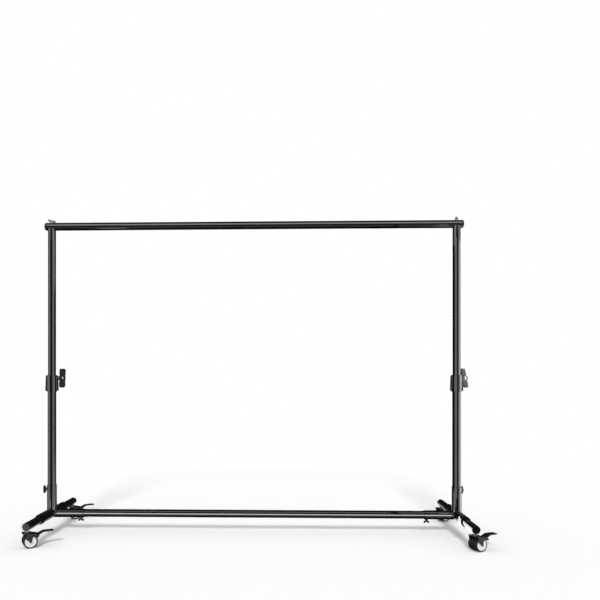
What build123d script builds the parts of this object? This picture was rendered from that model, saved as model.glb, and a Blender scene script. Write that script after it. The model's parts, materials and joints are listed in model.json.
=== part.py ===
from build123d import *
import math
import os

# Rolling backdrop stand: two T-bases on braked casters, two telescoping uprights,
# a top crossbar that carries the backdrop and a bottom crossbar that ties the bases.
# Millimetres. Origin on the floor, midway between the uprights. +X runs along the
# crossbars, +Y to the back, +Z up. The uprights are at their lowest setting.

# Overall sizes
BAR_LENGTH = 2000.0           # top crossbar over its end caps
BAR_OVERHANG = 32.5           # top crossbar beyond each upright's axis
FOOT_LENGTH = 586.0           # foot tube over its end caps
LOWER_POST_LENGTH = 605.0
UPPER_POST_LENGTH = 1310.0

# Tubes
POST_DIAMETER = 40.0
POST_WALL = 1.2
UPPER_WALL = 1.2
SLIDE_GAP = 0.3               # radial, between the upper post and what guides it
BAR_DIAMETER = 37.0
BAR_WALL = 1.2
FOOT_DIAMETER = 36.0
FOOT_WALL = 1.5

# T-base fitting
FOOT_SLEEVE_WALL = 5.0
SOCKET_WALL = 2.2
SOCKET_GAP = 0.3              # radial, between a tube and the socket around it
SEAT_GAP = 0.2                # between a tube's end and what it stands on
FOOT_SLEEVE_LENGTH = 290.0
POST_SOCKET_HEIGHT = 134.0    # above the foot tube's axis
BAR_SOCKET_REACH = 154.0      # from the upright's axis to the socket's mouth
SCREW_BOSS_HEIGHT = 4.0
SCREW_SETBACK = 12.0          # bar screw, in from the bar socket's mouth
POST_SCREW_DROP = 18.0        # post screw, below the post socket's mouth
SCREW_SWING = 28.0            # post and clamp screws, turned about the upright

# Joining tubes and plugs
JOINT_LENGTH = 160.0
JOINT_WALL = 1.5
PLUG_GAP = 0.1                # radial, around a plug or joining tube
PLUG_LENGTH = 10.0
BAR_CAP_HEIGHT = 10.0         # crossbar cap, beyond the tube
BAR_CAP_ROUND = 7.5
FOOT_CAP_HEIGHT = 4.0
FOOT_CAP_ROUND = 3.2
NUT_CLEARANCE = 1.0           # between a foot cap's plug and the caster's nut
STOP_HEIGHT = 12.0            # stop plug under the upper post
STOP_WALL = 3.2

# Clamp collar
COLLAR_HEIGHT = 78.0
COLLAR_GRIP = 45.0            # how far the collar reaches down the lower post
COLLAR_WALL = 3.7
CHEEK_TOP = 3.0               # side cheek beyond the collar, at its top
CHEEK_BOTTOM = 5.5
CHEEK_LIFT = 3.5              # cheek's lower end above the collar's
CHEEK_WIDTH = 24.0
CHEEK_ROUND = 4.0
CLAMP_SCREW_DROP = 13.0       # clamp screw, below the collar's top
CLAMP_BOSS_RADIUS = 10.0
CLAMP_BOSS_PROUD = 1.5

# Hand screws
CLAMP_SCREW_RADIUS = 4.0
CLAMP_KNOB_STANDOFF = 2.0     # from the boss to the knob
CLAMP_KNOB_DEPTH = 29.0
CLAMP_KNOB_RADIUS = 11.0
CLAMP_WING_SPAN = 94.0
CLAMP_WING_THICKNESS = 9.0
CLAMP_KNOB_TURN = {"left": 15.0, "right": -15.0}  # rest angle about the screw
POST_SCREW_RADIUS = 4.0
POST_KNOB_DEPTH = 12.0
POST_KNOB_RADIUS = 8.0
POST_WING_SPAN = 36.0
POST_WING_THICKNESS = 6.0
BAR_SCREW_RADIUS = 3.0
BAR_SCREW_HEAD_RADIUS = 6.0
BAR_WING_SPAN = 27.0
BAR_WING_HEIGHT = 12.6
THREAD_GAP = 0.05             # radial, between a screw and its thread
HEAD_STANDOFF = 1.0           # from a boss to a screw's head

# Shape of a knob's wing, as shares of the knob's depth, span and thickness
WING_WAIST = 0.35             # half width where the wing leaves the hub
WING_NEAR_SHOULDER = 0.22     # from the screw's axis, on the side of the boss
WING_FAR_SHOULDER = 0.2
WING_TIP_ROUND = 0.28
WING_EDGE_ROUND = 0.3
KNOB_EDGE_ROUND = 0.25

# Shape of a wing nut or wing screw, as shares of its radius, height and wing length
HEAD_TAPER = 0.72             # top radius of the round head
HEAD_SHARE = 0.7              # height of the round head
WING_ROOT = 0.4               # where a wing starts, from the axis
WING_ROOT_HEIGHT = 0.6
WING_BULGE = 0.8
WING_BULGE_HEIGHT = 0.25
WING_INNER_TIP = 0.45
WING_CORNER = 0.15

# Saddle, its bolt and its wing nut
SADDLE_HEIGHT = 32.0          # from the upper post's end to the crossbar's axis
SADDLE_RIM = 8.0              # saddle's rim, below the crossbar's axis
SADDLE_PLUG = 30.0
SADDLE_GAP = 0.1
SADDLE_BOLT_RADIUS = 4.0
BOLT_HEAD_RADIUS = 8.0
BOLT_HEAD_HEIGHT = 5.0
BOLT_HOLE_GAP = 0.3
BOLT_TAIL = 3.0               # bolt beyond the wing nut
NUT_HEIGHT = 14.0
NUT_RADIUS = 9.0
NUT_WING_SPAN = 40.0
NUT_WING_THICKNESS = 3.0
NUT_TURN = {"left": 50.0, "right": 65.0}

# Casters
WHEEL_DIAMETER = 60.0
WHEEL_WIDTH = 52.0
TYRE_DEPTH = 6.5
TYRE_ROUND = 2.5
HUB_GAP = 0.05
DISH_DEPTH = 3.0
DISH_RIM = 4.0
HUB_BOSS_RADIUS = 8.0
TRAIL = 11.0                  # wheel axle behind the swivel axis
SWIVEL_REST = {-1: 32.0, 1: 25.0}  # how far each side's casters are swivelled
STEM_SETBACK = 13.0           # caster stem, in from the foot's end
CROWN_GAP = 2.5               # between the tyre and the crown
FORK_SHEET = 2.5
LEG_SHEET = 2.0
LEG_GAP = 1.0                 # between the wheel and each fork leg
CROWN_FRONT = 19.5            # crown ahead of the swivel axis
CROWN_REAR = 20.0
CROWN_CORNER = 9.0
SHIN_HEIGHT = 13.0            # where the leg narrows to its eye, above the axle
SHIN_FRONT = 18.8             # leg ahead of the axle there
SHIN_REAR = 6.7
ARM_HEIGHT = 21.0             # where the pedal's arm leaves the leg, above the axle
ARM_FRONT = 21.0
ARM_REAR = 11.5
AXLE_RADIUS = 3.0
AXLE_EYE_RADIUS = 5.0
AXLE_HEAD_RADIUS = 4.0
AXLE_HEAD_HEIGHT = 1.5
RUN_GAP = 0.05                # radial, of a running fit
FACE_GAP = 0.3                # between faces that turn on each other
RACE_HEIGHT = 2.7
RACE_RADIUS = 16.0
SHOULDER_HEIGHT = 6.0
SHOULDER_RADIUS = 5.5
STEM_RADIUS = 4.0
RIVET_RADIUS = 7.0
RIVET_HEIGHT = 1.5
STEM_NUT_FLATS = 13.0
STEM_NUT_HEIGHT = 6.5
STEM_NUT_LIFT = 3.0           # nut above the inside of the foot tube's floor
STEM_TAIL = 2.0               # stem beyond its nut

# Brake pedal
PEDAL_PIVOT_ANGLE = 36.0      # seen from the wheel axle, up from level
PEDAL_PIVOT_GAP = 4.2         # between the tyre and the pedal's barrel
PEDAL_BARREL_RADIUS = 4.0
PEDAL_PIN_RADIUS = 2.0
PEDAL_PIN_HEAD_RADIUS = 3.0
PEDAL_PIN_HEAD_HEIGHT = 1.0
PEDAL_EYE_RADIUS = 5.0        # fork leg around the pedal's pin
PEDAL_REACH = 110.0           # from the swivel axis to the pedal's tip
PEDAL_KNEE = 68.0             # from the swivel axis to where the plate levels out
PEDAL_TOP = 67.0              # level part above the floor
PEDAL_WIDTH = 34.0
PEDAL_SHEET = 3.0
SHOE_GAP = 0.3
SHOE_DEPTH = 5.5
SHOE_WIDTH = 28.0
SHOE_START = 18.0             # angles of the shoe, seen from the wheel axle
SHOE_END = 37.0
WEB_START = 24.5              # angles between which the web meets the shoe
WEB_END = 31.5
WEB_SINK = 1.5                # web's corners below the shoe's outer face
PEDAL_CORNER = 9.0
RIB_HEIGHT = 0.8
RIB_WIDTH = 2.0
RIB_MARGIN = 4.5              # from a rib's end to the pedal's side
RIB_PITCH = 6.4
RIB_COUNT = 5

# Worked out from the above
post_x = BAR_LENGTH / 2 - BAR_OVERHANG
post_r = POST_DIAMETER / 2
post_bore_r = post_r - POST_WALL
upper_r = post_bore_r - SLIDE_GAP
bar_r = BAR_DIAMETER / 2
foot_r = FOOT_DIAMETER / 2
wheel_r = WHEEL_DIAMETER / 2

crown_under = WHEEL_DIAMETER + CROWN_GAP
crown_top = crown_under + FORK_SHEET
race_under = crown_top + FACE_GAP
shoulder_under = race_under + RACE_HEIGHT
foot_under = shoulder_under + SHOULDER_HEIGHT
foot_z = foot_under + foot_r
stem_y = FOOT_LENGTH / 2 - STEM_SETBACK
nut_under = foot_under + FOOT_WALL + STEM_NUT_LIFT
stem_top = nut_under + STEM_NUT_HEIGHT + STEM_TAIL

foot_sleeve_r = foot_r + SOCKET_GAP + FOOT_SLEEVE_WALL
post_socket_r = post_r + SOCKET_GAP + SOCKET_WALL
bar_socket_r = bar_r + SOCKET_GAP + SOCKET_WALL
socket_floor = foot_z + foot_sleeve_r
lower_post_foot = socket_floor + SEAT_GAP
lower_post_top = lower_post_foot + LOWER_POST_LENGTH
post_socket_top = foot_z + POST_SOCKET_HEIGHT
bottom_bar_end = post_x - foot_sleeve_r - SEAT_GAP
bar_socket_mouth = post_x - BAR_SOCKET_REACH

stop_top = lower_post_foot + STOP_HEIGHT
upper_post_foot = stop_top + SEAT_GAP
upper_post_top = upper_post_foot + UPPER_POST_LENGTH
top_bar_z = upper_post_top + SADDLE_HEIGHT
top_bar_end = BAR_LENGTH / 2 - BAR_CAP_HEIGHT

collar_foot = lower_post_top - COLLAR_GRIP
collar_top = collar_foot + COLLAR_HEIGHT
clamp_screw_z = collar_top - CLAMP_SCREW_DROP
collar_inner_r = post_r + SOCKET_GAP
collar_r = collar_inner_r + COLLAR_WALL
clamp_boss_face = collar_r + CHEEK_BOTTOM + CLAMP_BOSS_PROUD

QUARTER_TURN = 90.0
HALF_TURN = 180.0

SIDES = {"left": -1, "right": 1}
CORNERS = {
    "front_left": (-1, -1),
    "front_right": (1, -1),
    "rear_left": (-1, 1),
    "rear_right": (1, 1),
}


def rod(radius, length):
    """Cylinder along +Z, standing on the origin."""
    return Cylinder(radius, length, align=(Align.CENTER, Align.CENTER, Align.MIN))


def tube(radius, wall, length):
    return rod(radius, length) - rod(radius - wall, length)


def along_x(shape):
    """Turns what stands along +Z to lie along +X."""
    return Rot(0, QUARTER_TURN, 0) * shape


def along_y(shape):
    """Turns what stands along +Z to lie along +Y."""
    return Rot(-QUARTER_TURN, 0, 0) * shape


def facing_out(side, shape):
    """Turns what points along +X to point away from the middle of the stand."""
    return shape if side > 0 else Rot(0, 0, HALF_TURN) * shape


def swung(side, shape):
    """Turns what lies along +X to the direction of a screw on an upright."""
    return Rot(0, 0, SCREW_SWING) * facing_out(side, shape)


def save(name, *solids):
    shape = solids[0] if len(solids) == 1 else Compound(children=list(solids))
    export_step(shape, f"parts/{name}.step")


# ---------------------------------------------------------------- T-base


def base_fitting(side):
    """Foot sleeve, post socket and bar socket, welded into one piece."""
    x = side * post_x
    sleeve = Pos(x, -FOOT_SLEEVE_LENGTH / 2, foot_z) * along_y(rod(foot_sleeve_r, FOOT_SLEEVE_LENGTH))
    post_socket = Pos(x, 0, foot_z) * rod(post_socket_r, POST_SOCKET_HEIGHT)
    bar_socket = Pos(x, 0, foot_z) * facing_out(-side, along_x(rod(bar_socket_r, BAR_SOCKET_REACH)))

    screw_x = side * (bar_socket_mouth + SCREW_SETBACK)
    bar_boss = Pos(screw_x, 0, foot_z - bar_socket_r - SCREW_BOSS_HEIGHT) * rod(
        BAR_SCREW_RADIUS + SCREW_BOSS_HEIGHT, SCREW_BOSS_HEIGHT + bar_socket_r
    )
    post_screw_z = post_socket_top - POST_SCREW_DROP
    post_boss_length = post_socket_r + SCREW_BOSS_HEIGHT
    post_boss = Pos(x, 0, post_screw_z) * swung(
        side, along_x(rod(POST_SCREW_RADIUS + SCREW_BOSS_HEIGHT, post_boss_length))
    )
    body = sleeve + post_socket + bar_socket + bar_boss + post_boss

    foot_bore = Pos(x, -FOOT_SLEEVE_LENGTH / 2, foot_z) * along_y(
        rod(foot_r + SOCKET_GAP, FOOT_SLEEVE_LENGTH)
    )
    post_bore = Pos(x, 0, socket_floor) * rod(post_r + SOCKET_GAP, POST_SOCKET_HEIGHT)
    bar_bore_length = BAR_SOCKET_REACH - foot_sleeve_r
    bar_bore = Pos(x - side * foot_sleeve_r, 0, foot_z) * facing_out(
        -side, along_x(rod(bar_r + SOCKET_GAP, bar_bore_length))
    )
    bar_screw_hole = Pos(screw_x, 0, 0) * rod(BAR_SCREW_RADIUS + THREAD_GAP, foot_z)
    post_screw_hole = Pos(x, 0, post_screw_z) * swung(
        side, along_x(rod(POST_SCREW_RADIUS + THREAD_GAP, post_boss_length))
    )
    return body - foot_bore - post_bore - bar_bore - bar_screw_hole - post_screw_hole


def foot_tube(side):
    """Tube through the foot sleeve, drilled from below for the caster stems."""
    length = FOOT_LENGTH - 2 * FOOT_CAP_HEIGHT
    body = Pos(side * post_x, -length / 2, foot_z) * along_y(tube(foot_r, FOOT_WALL, length))
    for end in (-1, 1):
        hole = rod(STEM_RADIUS + HUB_GAP, foot_z)
        body -= Pos(side * post_x, end * stem_y, 0) * hole
    return body


def end_cap(radius, wall, height, edge_round):
    """Moulded cap for a tube that ends at the origin, pointing along +Z."""
    plug_r = radius - wall - PLUG_GAP
    straight = height - edge_round
    outline = [
        Polyline((0, -PLUG_LENGTH), (plug_r, -PLUG_LENGTH), (plug_r, 0), (radius, 0), (radius, straight)),
        JernArc((radius, straight), (0, 1), edge_round, QUARTER_TURN),
        Polyline((radius - edge_round, height), (0, height), (0, -PLUG_LENGTH)),
    ]
    return revolve(Plane.XZ * make_face(outline), Axis.Z)


def foot_caps(side):
    """Front and rear cap, each with its plug cut out for the caster's stem and nut."""
    cap = end_cap(foot_r, FOOT_WALL, FOOT_CAP_HEIGHT, FOOT_CAP_ROUND)
    nut_space = rod(STEM_NUT_FLATS / math.sqrt(3) + NUT_CLEARANCE, stem_top + NUT_CLEARANCE)
    end = FOOT_LENGTH / 2 - FOOT_CAP_HEIGHT
    x = side * post_x
    rear = Pos(x, end, foot_z) * Rot(-QUARTER_TURN, 0, 0) * cap - Pos(x, stem_y, 0) * nut_space
    front = Pos(x, -end, foot_z) * Rot(QUARTER_TURN, 0, 0) * cap - Pos(x, -stem_y, 0) * nut_space
    return front, rear


# ---------------------------------------------------------------- uprights


def lower_post(side):
    return Pos(side * post_x, 0, lower_post_foot) * tube(post_r, POST_WALL, LOWER_POST_LENGTH)


def post_stop(side):
    """Ring plug in the foot of the lower post; the lowered upper post stands on it."""
    ring = tube(post_bore_r - PLUG_GAP, STOP_WALL, STOP_HEIGHT)
    return Pos(side * post_x, 0, lower_post_foot) * ring


def upper_post(side):
    return Pos(side * post_x, 0, upper_post_foot) * tube(upper_r, UPPER_WALL, UPPER_POST_LENGTH)


def clamp_collar(side):
    """Collar on the lower post with two side cheeks and a boss for the clamp screw."""
    cheek_outline = Plane.XZ * make_face(
        Polyline(
            (collar_inner_r, CHEEK_LIFT),
            (collar_r + CHEEK_BOTTOM, CHEEK_LIFT),
            (collar_r + CHEEK_TOP, COLLAR_HEIGHT),
            (collar_inner_r, COLLAR_HEIGHT),
            close=True,
        )
    )
    cheek = extrude(cheek_outline, CHEEK_WIDTH / 2, both=True)
    outer_face = cheek.faces().sort_by(Axis.X)[-1]
    cheek = fillet(outer_face.edges(), CHEEK_ROUND)
    body = rod(collar_r, COLLAR_HEIGHT) + cheek + Rot(0, 0, HALF_TURN) * cheek
    screw_place = Pos(0, 0, COLLAR_HEIGHT - CLAMP_SCREW_DROP) * Rot(0, 0, SCREW_SWING)
    body += screw_place * along_x(rod(CLAMP_BOSS_RADIUS, clamp_boss_face))
    body -= rod(collar_inner_r, COLLAR_GRIP + SEAT_GAP)
    body -= rod(upper_r + SLIDE_GAP, COLLAR_HEIGHT)
    body -= screw_place * along_x(rod(CLAMP_SCREW_RADIUS + THREAD_GAP, clamp_boss_face))
    return Pos(side * post_x, 0, collar_foot) * body


def clamp_screw(side):
    """Steel screw through the collar; its tip bears on the upper post."""
    start = upper_r + SLIDE_GAP
    length = clamp_boss_face + CLAMP_KNOB_STANDOFF + CLAMP_KNOB_DEPTH / 2 - start
    screw = Pos(start, 0, 0) * along_x(rod(CLAMP_SCREW_RADIUS, length))
    return Pos(side * post_x, 0, clamp_screw_z) * Rot(0, 0, SCREW_SWING) * screw


def winged_knob(radius, depth, span, thickness, bore_radius, bore_depth):
    """Knob on +X with two wings in the XZ plane, bored from its near face."""
    hub = along_x(rod(radius, depth))
    hub = fillet(hub.edges().group_by(Axis.X)[-1], radius * KNOB_EDGE_ROUND)
    waist = depth * WING_WAIST
    outline = make_face(
        Polyline(
            (depth / 2 - waist, 0),
            (0, span * WING_NEAR_SHOULDER),
            (0, span / 2),
            (depth, span / 2),
            (depth, span * WING_FAR_SHOULDER),
            (depth / 2 + waist, 0),
            close=True,
        )
    )
    outline = fillet(outline.vertices().group_by(Axis.Y)[-1], depth * WING_TIP_ROUND)
    wing = extrude(Plane.XZ * outline, thickness / 2, both=True)
    wing = fillet(wing.edges().filter_by(Plane.XZ), thickness * WING_EDGE_ROUND)
    wings = wing + Rot(HALF_TURN, 0, 0) * wing
    return hub + wings - along_x(rod(bore_radius, bore_depth))


def clamp_knob(side_name, side):
    knob = winged_knob(
        CLAMP_KNOB_RADIUS,
        CLAMP_KNOB_DEPTH,
        CLAMP_WING_SPAN,
        CLAMP_WING_THICKNESS,
        CLAMP_SCREW_RADIUS + HUB_GAP,
        CLAMP_KNOB_DEPTH / 2 + SEAT_GAP,
    )
    knob = Pos(clamp_boss_face + CLAMP_KNOB_STANDOFF, 0, 0) * Rot(CLAMP_KNOB_TURN[side_name], 0, 0) * knob
    return Pos(side * post_x, 0, clamp_screw_z) * Rot(0, 0, SCREW_SWING) * knob


def post_screw(side):
    """Thumbscrew on the outer side of the post socket."""
    start = post_socket_r + SCREW_BOSS_HEIGHT + HEAD_STANDOFF
    knob = Pos(start, 0, 0) * winged_knob(
        POST_KNOB_RADIUS,
        POST_KNOB_DEPTH,
        POST_WING_SPAN,
        POST_WING_THICKNESS,
        POST_SCREW_RADIUS,
        HEAD_STANDOFF,
    )
    tip = post_r + SEAT_GAP
    shank = Pos(tip, 0, 0) * along_x(rod(POST_SCREW_RADIUS, start + POST_KNOB_DEPTH / 2 - tip))
    height = post_socket_top - POST_SCREW_DROP
    return Pos(side * post_x, 0, height) * swung(side, knob + shank)


# ---------------------------------------------------------------- wing nuts and wing screws


def butterfly(radius, height, span, thickness):
    """Round head standing on the origin with two upswept wings along X."""
    on_base = (Align.CENTER, Align.CENTER, Align.MIN)
    head = Cone(radius, radius * HEAD_TAPER, height * HEAD_SHARE, align=on_base)
    root = radius * WING_ROOT
    wing_length = span / 2 - root
    outline = make_face(
        Polyline(
            (0, 0),
            (wing_length * WING_BULGE, height * WING_BULGE_HEIGHT),
            (wing_length, height),
            (wing_length * WING_INNER_TIP, height),
            (0, height * WING_ROOT_HEIGHT),
            close=True,
        )
    )
    outline = fillet(outline.vertices().sort_by(Axis.X)[-2:], wing_length * WING_CORNER)
    wing = Pos(root, 0, 0) * extrude(Plane.XZ * outline, thickness / 2, both=True)
    return head + wing + Rot(0, 0, HALF_TURN) * wing


def wing_nut(side_name, side):
    nut = butterfly(NUT_RADIUS, NUT_HEIGHT, NUT_WING_SPAN, NUT_WING_THICKNESS)
    nut -= rod(SADDLE_BOLT_RADIUS + THREAD_GAP, NUT_HEIGHT)
    seat = top_bar_z + bar_r + FACE_GAP
    return Pos(side * post_x, 0, seat) * Rot(0, 0, NUT_TURN[side_name]) * nut


def bar_screw(side):
    """Wing screw up through the bar socket; its tip bears on the bottom crossbar."""
    head_top = foot_z - bar_socket_r - SCREW_BOSS_HEIGHT - HEAD_STANDOFF
    head = Rot(HALF_TURN, 0, 0) * butterfly(
        BAR_SCREW_HEAD_RADIUS, BAR_WING_HEIGHT, BAR_WING_SPAN, NUT_WING_THICKNESS
    )
    shank_depth = BAR_WING_HEIGHT * HEAD_SHARE / 2
    shank_length = foot_z - bar_r - SEAT_GAP - head_top + shank_depth
    shank = Pos(0, 0, -shank_depth) * rod(BAR_SCREW_RADIUS, shank_length)
    x = side * (bar_socket_mouth + SCREW_SETBACK)
    return Pos(x, 0, head_top) * (head + shank)


# ---------------------------------------------------------------- saddle and crossbars


def saddle(side):
    """Block on the upper post, cut out below for the post and above for the crossbar."""
    body = rod(upper_r, SADDLE_HEIGHT - SADDLE_RIM) + Pos(0, 0, -SADDLE_PLUG) * rod(
        upper_r - UPPER_WALL - PLUG_GAP, SADDLE_PLUG
    )
    channel = Pos(-upper_r, 0, SADDLE_HEIGHT) * along_x(rod(bar_r + SADDLE_GAP, 2 * upper_r))
    bolt_hole = Pos(0, 0, -SADDLE_PLUG) * rod(
        SADDLE_BOLT_RADIUS + BOLT_HOLE_GAP, SADDLE_PLUG + SADDLE_HEIGHT
    )
    return Pos(side * post_x, 0, upper_post_top) * (body - channel - bolt_hole)


def saddle_bolt(side):
    """Bolt up through the saddle and the crossbar, with its head inside the upper post."""
    head_under = upper_post_top - SADDLE_PLUG - BOLT_HEAD_HEIGHT
    top = top_bar_z + bar_r + FACE_GAP + NUT_HEIGHT * HEAD_SHARE + BOLT_TAIL
    bolt = rod(BOLT_HEAD_RADIUS, BOLT_HEAD_HEIGHT) + rod(SADDLE_BOLT_RADIUS, top - head_under)
    return Pos(side * post_x, 0, head_under) * bolt


def crossbar_section(side, end, height, drilled):
    """Half of a crossbar, from the middle of the stand to its end."""
    body = facing_out(side, along_x(tube(bar_r, BAR_WALL, end)))
    body = Pos(0, 0, height) * body
    if drilled:
        hole = rod(SADDLE_BOLT_RADIUS + BOLT_HOLE_GAP, BAR_DIAMETER)
        body -= Pos(side * post_x, 0, height - bar_r) * hole
    return body


def crossbar_joint(height):
    """Joining tube inside the two sections of a crossbar."""
    joint = tube(bar_r - BAR_WALL - PLUG_GAP, JOINT_WALL, JOINT_LENGTH)
    return Pos(-JOINT_LENGTH / 2, 0, height) * along_x(joint)


def bar_cap(side):
    cap = along_x(end_cap(bar_r, BAR_WALL, BAR_CAP_HEIGHT, BAR_CAP_ROUND))
    return Pos(side * top_bar_end, 0, top_bar_z) * facing_out(side, cap)


# ---------------------------------------------------------------- casters
# A caster is made with its swivel axis on +Z and its wheel behind it along +X.


def caster_stem():
    """Rivet head, race plate, shoulder and threaded stem, with the nut inside the foot tube."""
    rivet_under = crown_under - FACE_GAP - RIVET_HEIGHT
    stem = Pos(0, 0, rivet_under) * rod(RIVET_RADIUS, RIVET_HEIGHT)
    stem += Pos(0, 0, rivet_under) * rod(STEM_RADIUS, stem_top - rivet_under)
    stem += Pos(0, 0, race_under) * rod(RACE_RADIUS, RACE_HEIGHT)
    stem += Pos(0, 0, shoulder_under) * rod(SHOULDER_RADIUS, SHOULDER_HEIGHT)
    nut_outline = RegularPolygon(STEM_NUT_FLATS / 2, 6, major_radius=False)
    nut = extrude(nut_outline, STEM_NUT_HEIGHT) - rod(STEM_RADIUS + HUB_GAP, STEM_NUT_HEIGHT)
    return stem, Pos(0, 0, nut_under) * nut


def pedal_pivot():
    """Place of the pedal's pin, behind and above the wheel."""
    reach = wheel_r + PEDAL_PIVOT_GAP + PEDAL_BARREL_RADIUS
    angle = math.radians(PEDAL_PIVOT_ANGLE)
    return TRAIL + reach * math.cos(angle), wheel_r + reach * math.sin(angle)


def leg_inner():
    """Half the space between the fork's legs."""
    return WHEEL_WIDTH / 2 + LEG_GAP


def fork():
    """Crown with two legs that carry the wheel axle and the pedal pin."""
    pivot_x, pivot_z = pedal_pivot()
    half = leg_inner() + LEG_SHEET
    crown_outline = Pos((CROWN_REAR - CROWN_FRONT) / 2, 0) * RectangleRounded(
        CROWN_FRONT + CROWN_REAR, 2 * half, CROWN_CORNER
    )
    crown = Pos(0, 0, crown_under) * extrude(crown_outline, FORK_SHEET)

    leg_outline = make_face(
        Polyline(
            (CROWN_CORNER - CROWN_FRONT, crown_top),
            (CROWN_REAR - CROWN_CORNER, crown_top),
            (pivot_x, pivot_z + PEDAL_EYE_RADIUS),
            (pivot_x, pivot_z - PEDAL_EYE_RADIUS),
            (TRAIL + ARM_REAR, wheel_r + ARM_HEIGHT),
            (TRAIL + SHIN_REAR, wheel_r + SHIN_HEIGHT),
            (TRAIL + AXLE_EYE_RADIUS, wheel_r),
            (TRAIL - AXLE_EYE_RADIUS, wheel_r),
            (TRAIL - SHIN_FRONT, wheel_r + SHIN_HEIGHT),
            (TRAIL - ARM_FRONT, wheel_r + ARM_HEIGHT),
            close=True,
        )
    )
    leg_outline += Pos(TRAIL, wheel_r) * Circle(AXLE_EYE_RADIUS)
    leg_outline += Pos(pivot_x, pivot_z) * Circle(PEDAL_EYE_RADIUS)
    leg_outline -= Pos(TRAIL, wheel_r) * Circle(AXLE_RADIUS + HUB_GAP)
    leg_outline -= Pos(pivot_x, pivot_z) * Circle(PEDAL_PIN_RADIUS + HUB_GAP)
    front_leg = Pos(0, -leg_inner(), 0) * extrude(Plane.XZ * leg_outline, LEG_SHEET)
    rear_leg = Pos(0, half, 0) * extrude(Plane.XZ * leg_outline, LEG_SHEET)
    return crown + front_leg + rear_leg - rod(STEM_RADIUS + RUN_GAP, crown_top)


def cross_pin(x, z, radius, head_radius, head_height):
    """Pin along Y through both fork legs, with a head on each end."""
    half = leg_inner() + LEG_SHEET
    pin = Pos(x, -half, z) * along_y(rod(radius, 2 * half))
    for start in (-half - head_height, half):
        pin += Pos(x, start, z) * along_y(rod(head_radius, head_height))
    return pin


def caster_pins():
    pivot_x, pivot_z = pedal_pivot()
    axle = cross_pin(TRAIL, wheel_r, AXLE_RADIUS, AXLE_HEAD_RADIUS, AXLE_HEAD_HEIGHT)
    pin = cross_pin(pivot_x, pivot_z, PEDAL_PIN_RADIUS, PEDAL_PIN_HEAD_RADIUS, PEDAL_PIN_HEAD_HEIGHT)
    return axle, pin


def wheel_hub():
    """Dished hub with a boss on each face that takes up the fork's side clearance."""
    hub_r = wheel_r - TYRE_DEPTH - HUB_GAP
    hub = Pos(0, -WHEEL_WIDTH / 2, 0) * along_y(rod(hub_r, WHEEL_WIDTH))
    dish = rod(hub_r - DISH_RIM, DISH_DEPTH)
    for start in (-WHEEL_WIDTH / 2, WHEEL_WIDTH / 2 - DISH_DEPTH):
        hub -= Pos(0, start, 0) * along_y(dish)
    boss_half = leg_inner() - FACE_GAP
    hub += Pos(0, -boss_half, 0) * along_y(rod(HUB_BOSS_RADIUS, 2 * boss_half))
    hub -= Pos(0, -boss_half, 0) * along_y(rod(AXLE_RADIUS + RUN_GAP, 2 * boss_half))
    return Pos(TRAIL, 0, wheel_r) * hub


def tyre():
    ring = Pos(0, -WHEEL_WIDTH / 2, 0) * along_y(rod(wheel_r, WHEEL_WIDTH))
    ring = fillet(ring.edges(), TYRE_ROUND)
    ring -= Pos(0, -WHEEL_WIDTH / 2, 0) * along_y(rod(wheel_r - TYRE_DEPTH, WHEEL_WIDTH))
    return Pos(TRAIL, 0, wheel_r) * ring


def on_wheel(radius, angle):
    """Point in the plane of the wheel, seen from its axle."""
    turn = math.radians(angle)
    return TRAIL + radius * math.cos(turn), wheel_r + radius * math.sin(turn)


def brake_pedal():
    """Foot pedal on its pin: a plate that climbs, then levels out, and a shoe on the tyre."""
    pivot_x, pivot_z = pedal_pivot()
    barrel_half = leg_inner() - FACE_GAP
    barrel = Pos(pivot_x, -barrel_half, pivot_z) * along_y(rod(PEDAL_BARREL_RADIUS, 2 * barrel_half))
    shoe_r = wheel_r + SHOE_GAP
    web_r = shoe_r + SHOE_DEPTH - WEB_SINK
    side_view = make_face(
        Polyline(
            (pivot_x, pivot_z + PEDAL_BARREL_RADIUS),
            (PEDAL_KNEE, PEDAL_TOP),
            (PEDAL_REACH, PEDAL_TOP),
            (PEDAL_REACH, PEDAL_TOP - PEDAL_SHEET),
            (PEDAL_KNEE, PEDAL_TOP - PEDAL_SHEET),
            (pivot_x + PEDAL_BARREL_RADIUS, pivot_z),
            on_wheel(web_r, WEB_START),
            on_wheel(web_r, WEB_END),
            (pivot_x - PEDAL_BARREL_RADIUS, pivot_z),
            close=True,
        )
    )
    body = extrude(Plane.XZ * side_view, PEDAL_WIDTH / 2, both=True)
    tip_edges = body.edges().filter_by(Axis.Z).group_by(Axis.X)[-1]
    body = fillet(tip_edges, PEDAL_CORNER)

    ring = rod(shoe_r + SHOE_DEPTH, SHOE_WIDTH) - rod(shoe_r, SHOE_WIDTH)
    ring = Pos(TRAIL, -SHOE_WIDTH / 2, wheel_r) * along_y(ring)
    corners = [(TRAIL, wheel_r), on_wheel(WHEEL_DIAMETER, SHOE_START), on_wheel(WHEEL_DIAMETER, SHOE_END)]
    sector = extrude(Plane.XZ * make_face(Polyline(*corners, close=True)), SHOE_WIDTH / 2, both=True)
    body += barrel + (ring & sector)

    for number in range(RIB_COUNT):
        rib_x = PEDAL_REACH - PEDAL_CORNER - number * RIB_PITCH
        body += Pos(rib_x, 0, PEDAL_TOP) * Box(RIB_WIDTH, PEDAL_WIDTH - 2 * RIB_MARGIN, 2 * RIB_HEIGHT)
    return body - Pos(pivot_x, -barrel_half, pivot_z) * along_y(
        rod(PEDAL_PIN_RADIUS + RUN_GAP, 2 * barrel_half)
    )


def caster_place(corner):
    """Where a caster stands, turned to its rest angle."""
    side, end = corner
    return Pos(side * post_x, end * stem_y, 0) * Rot(0, 0, SWIVEL_REST[side])


# ---------------------------------------------------------------- writing the pieces

os.makedirs("parts", exist_ok=True)

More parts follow.
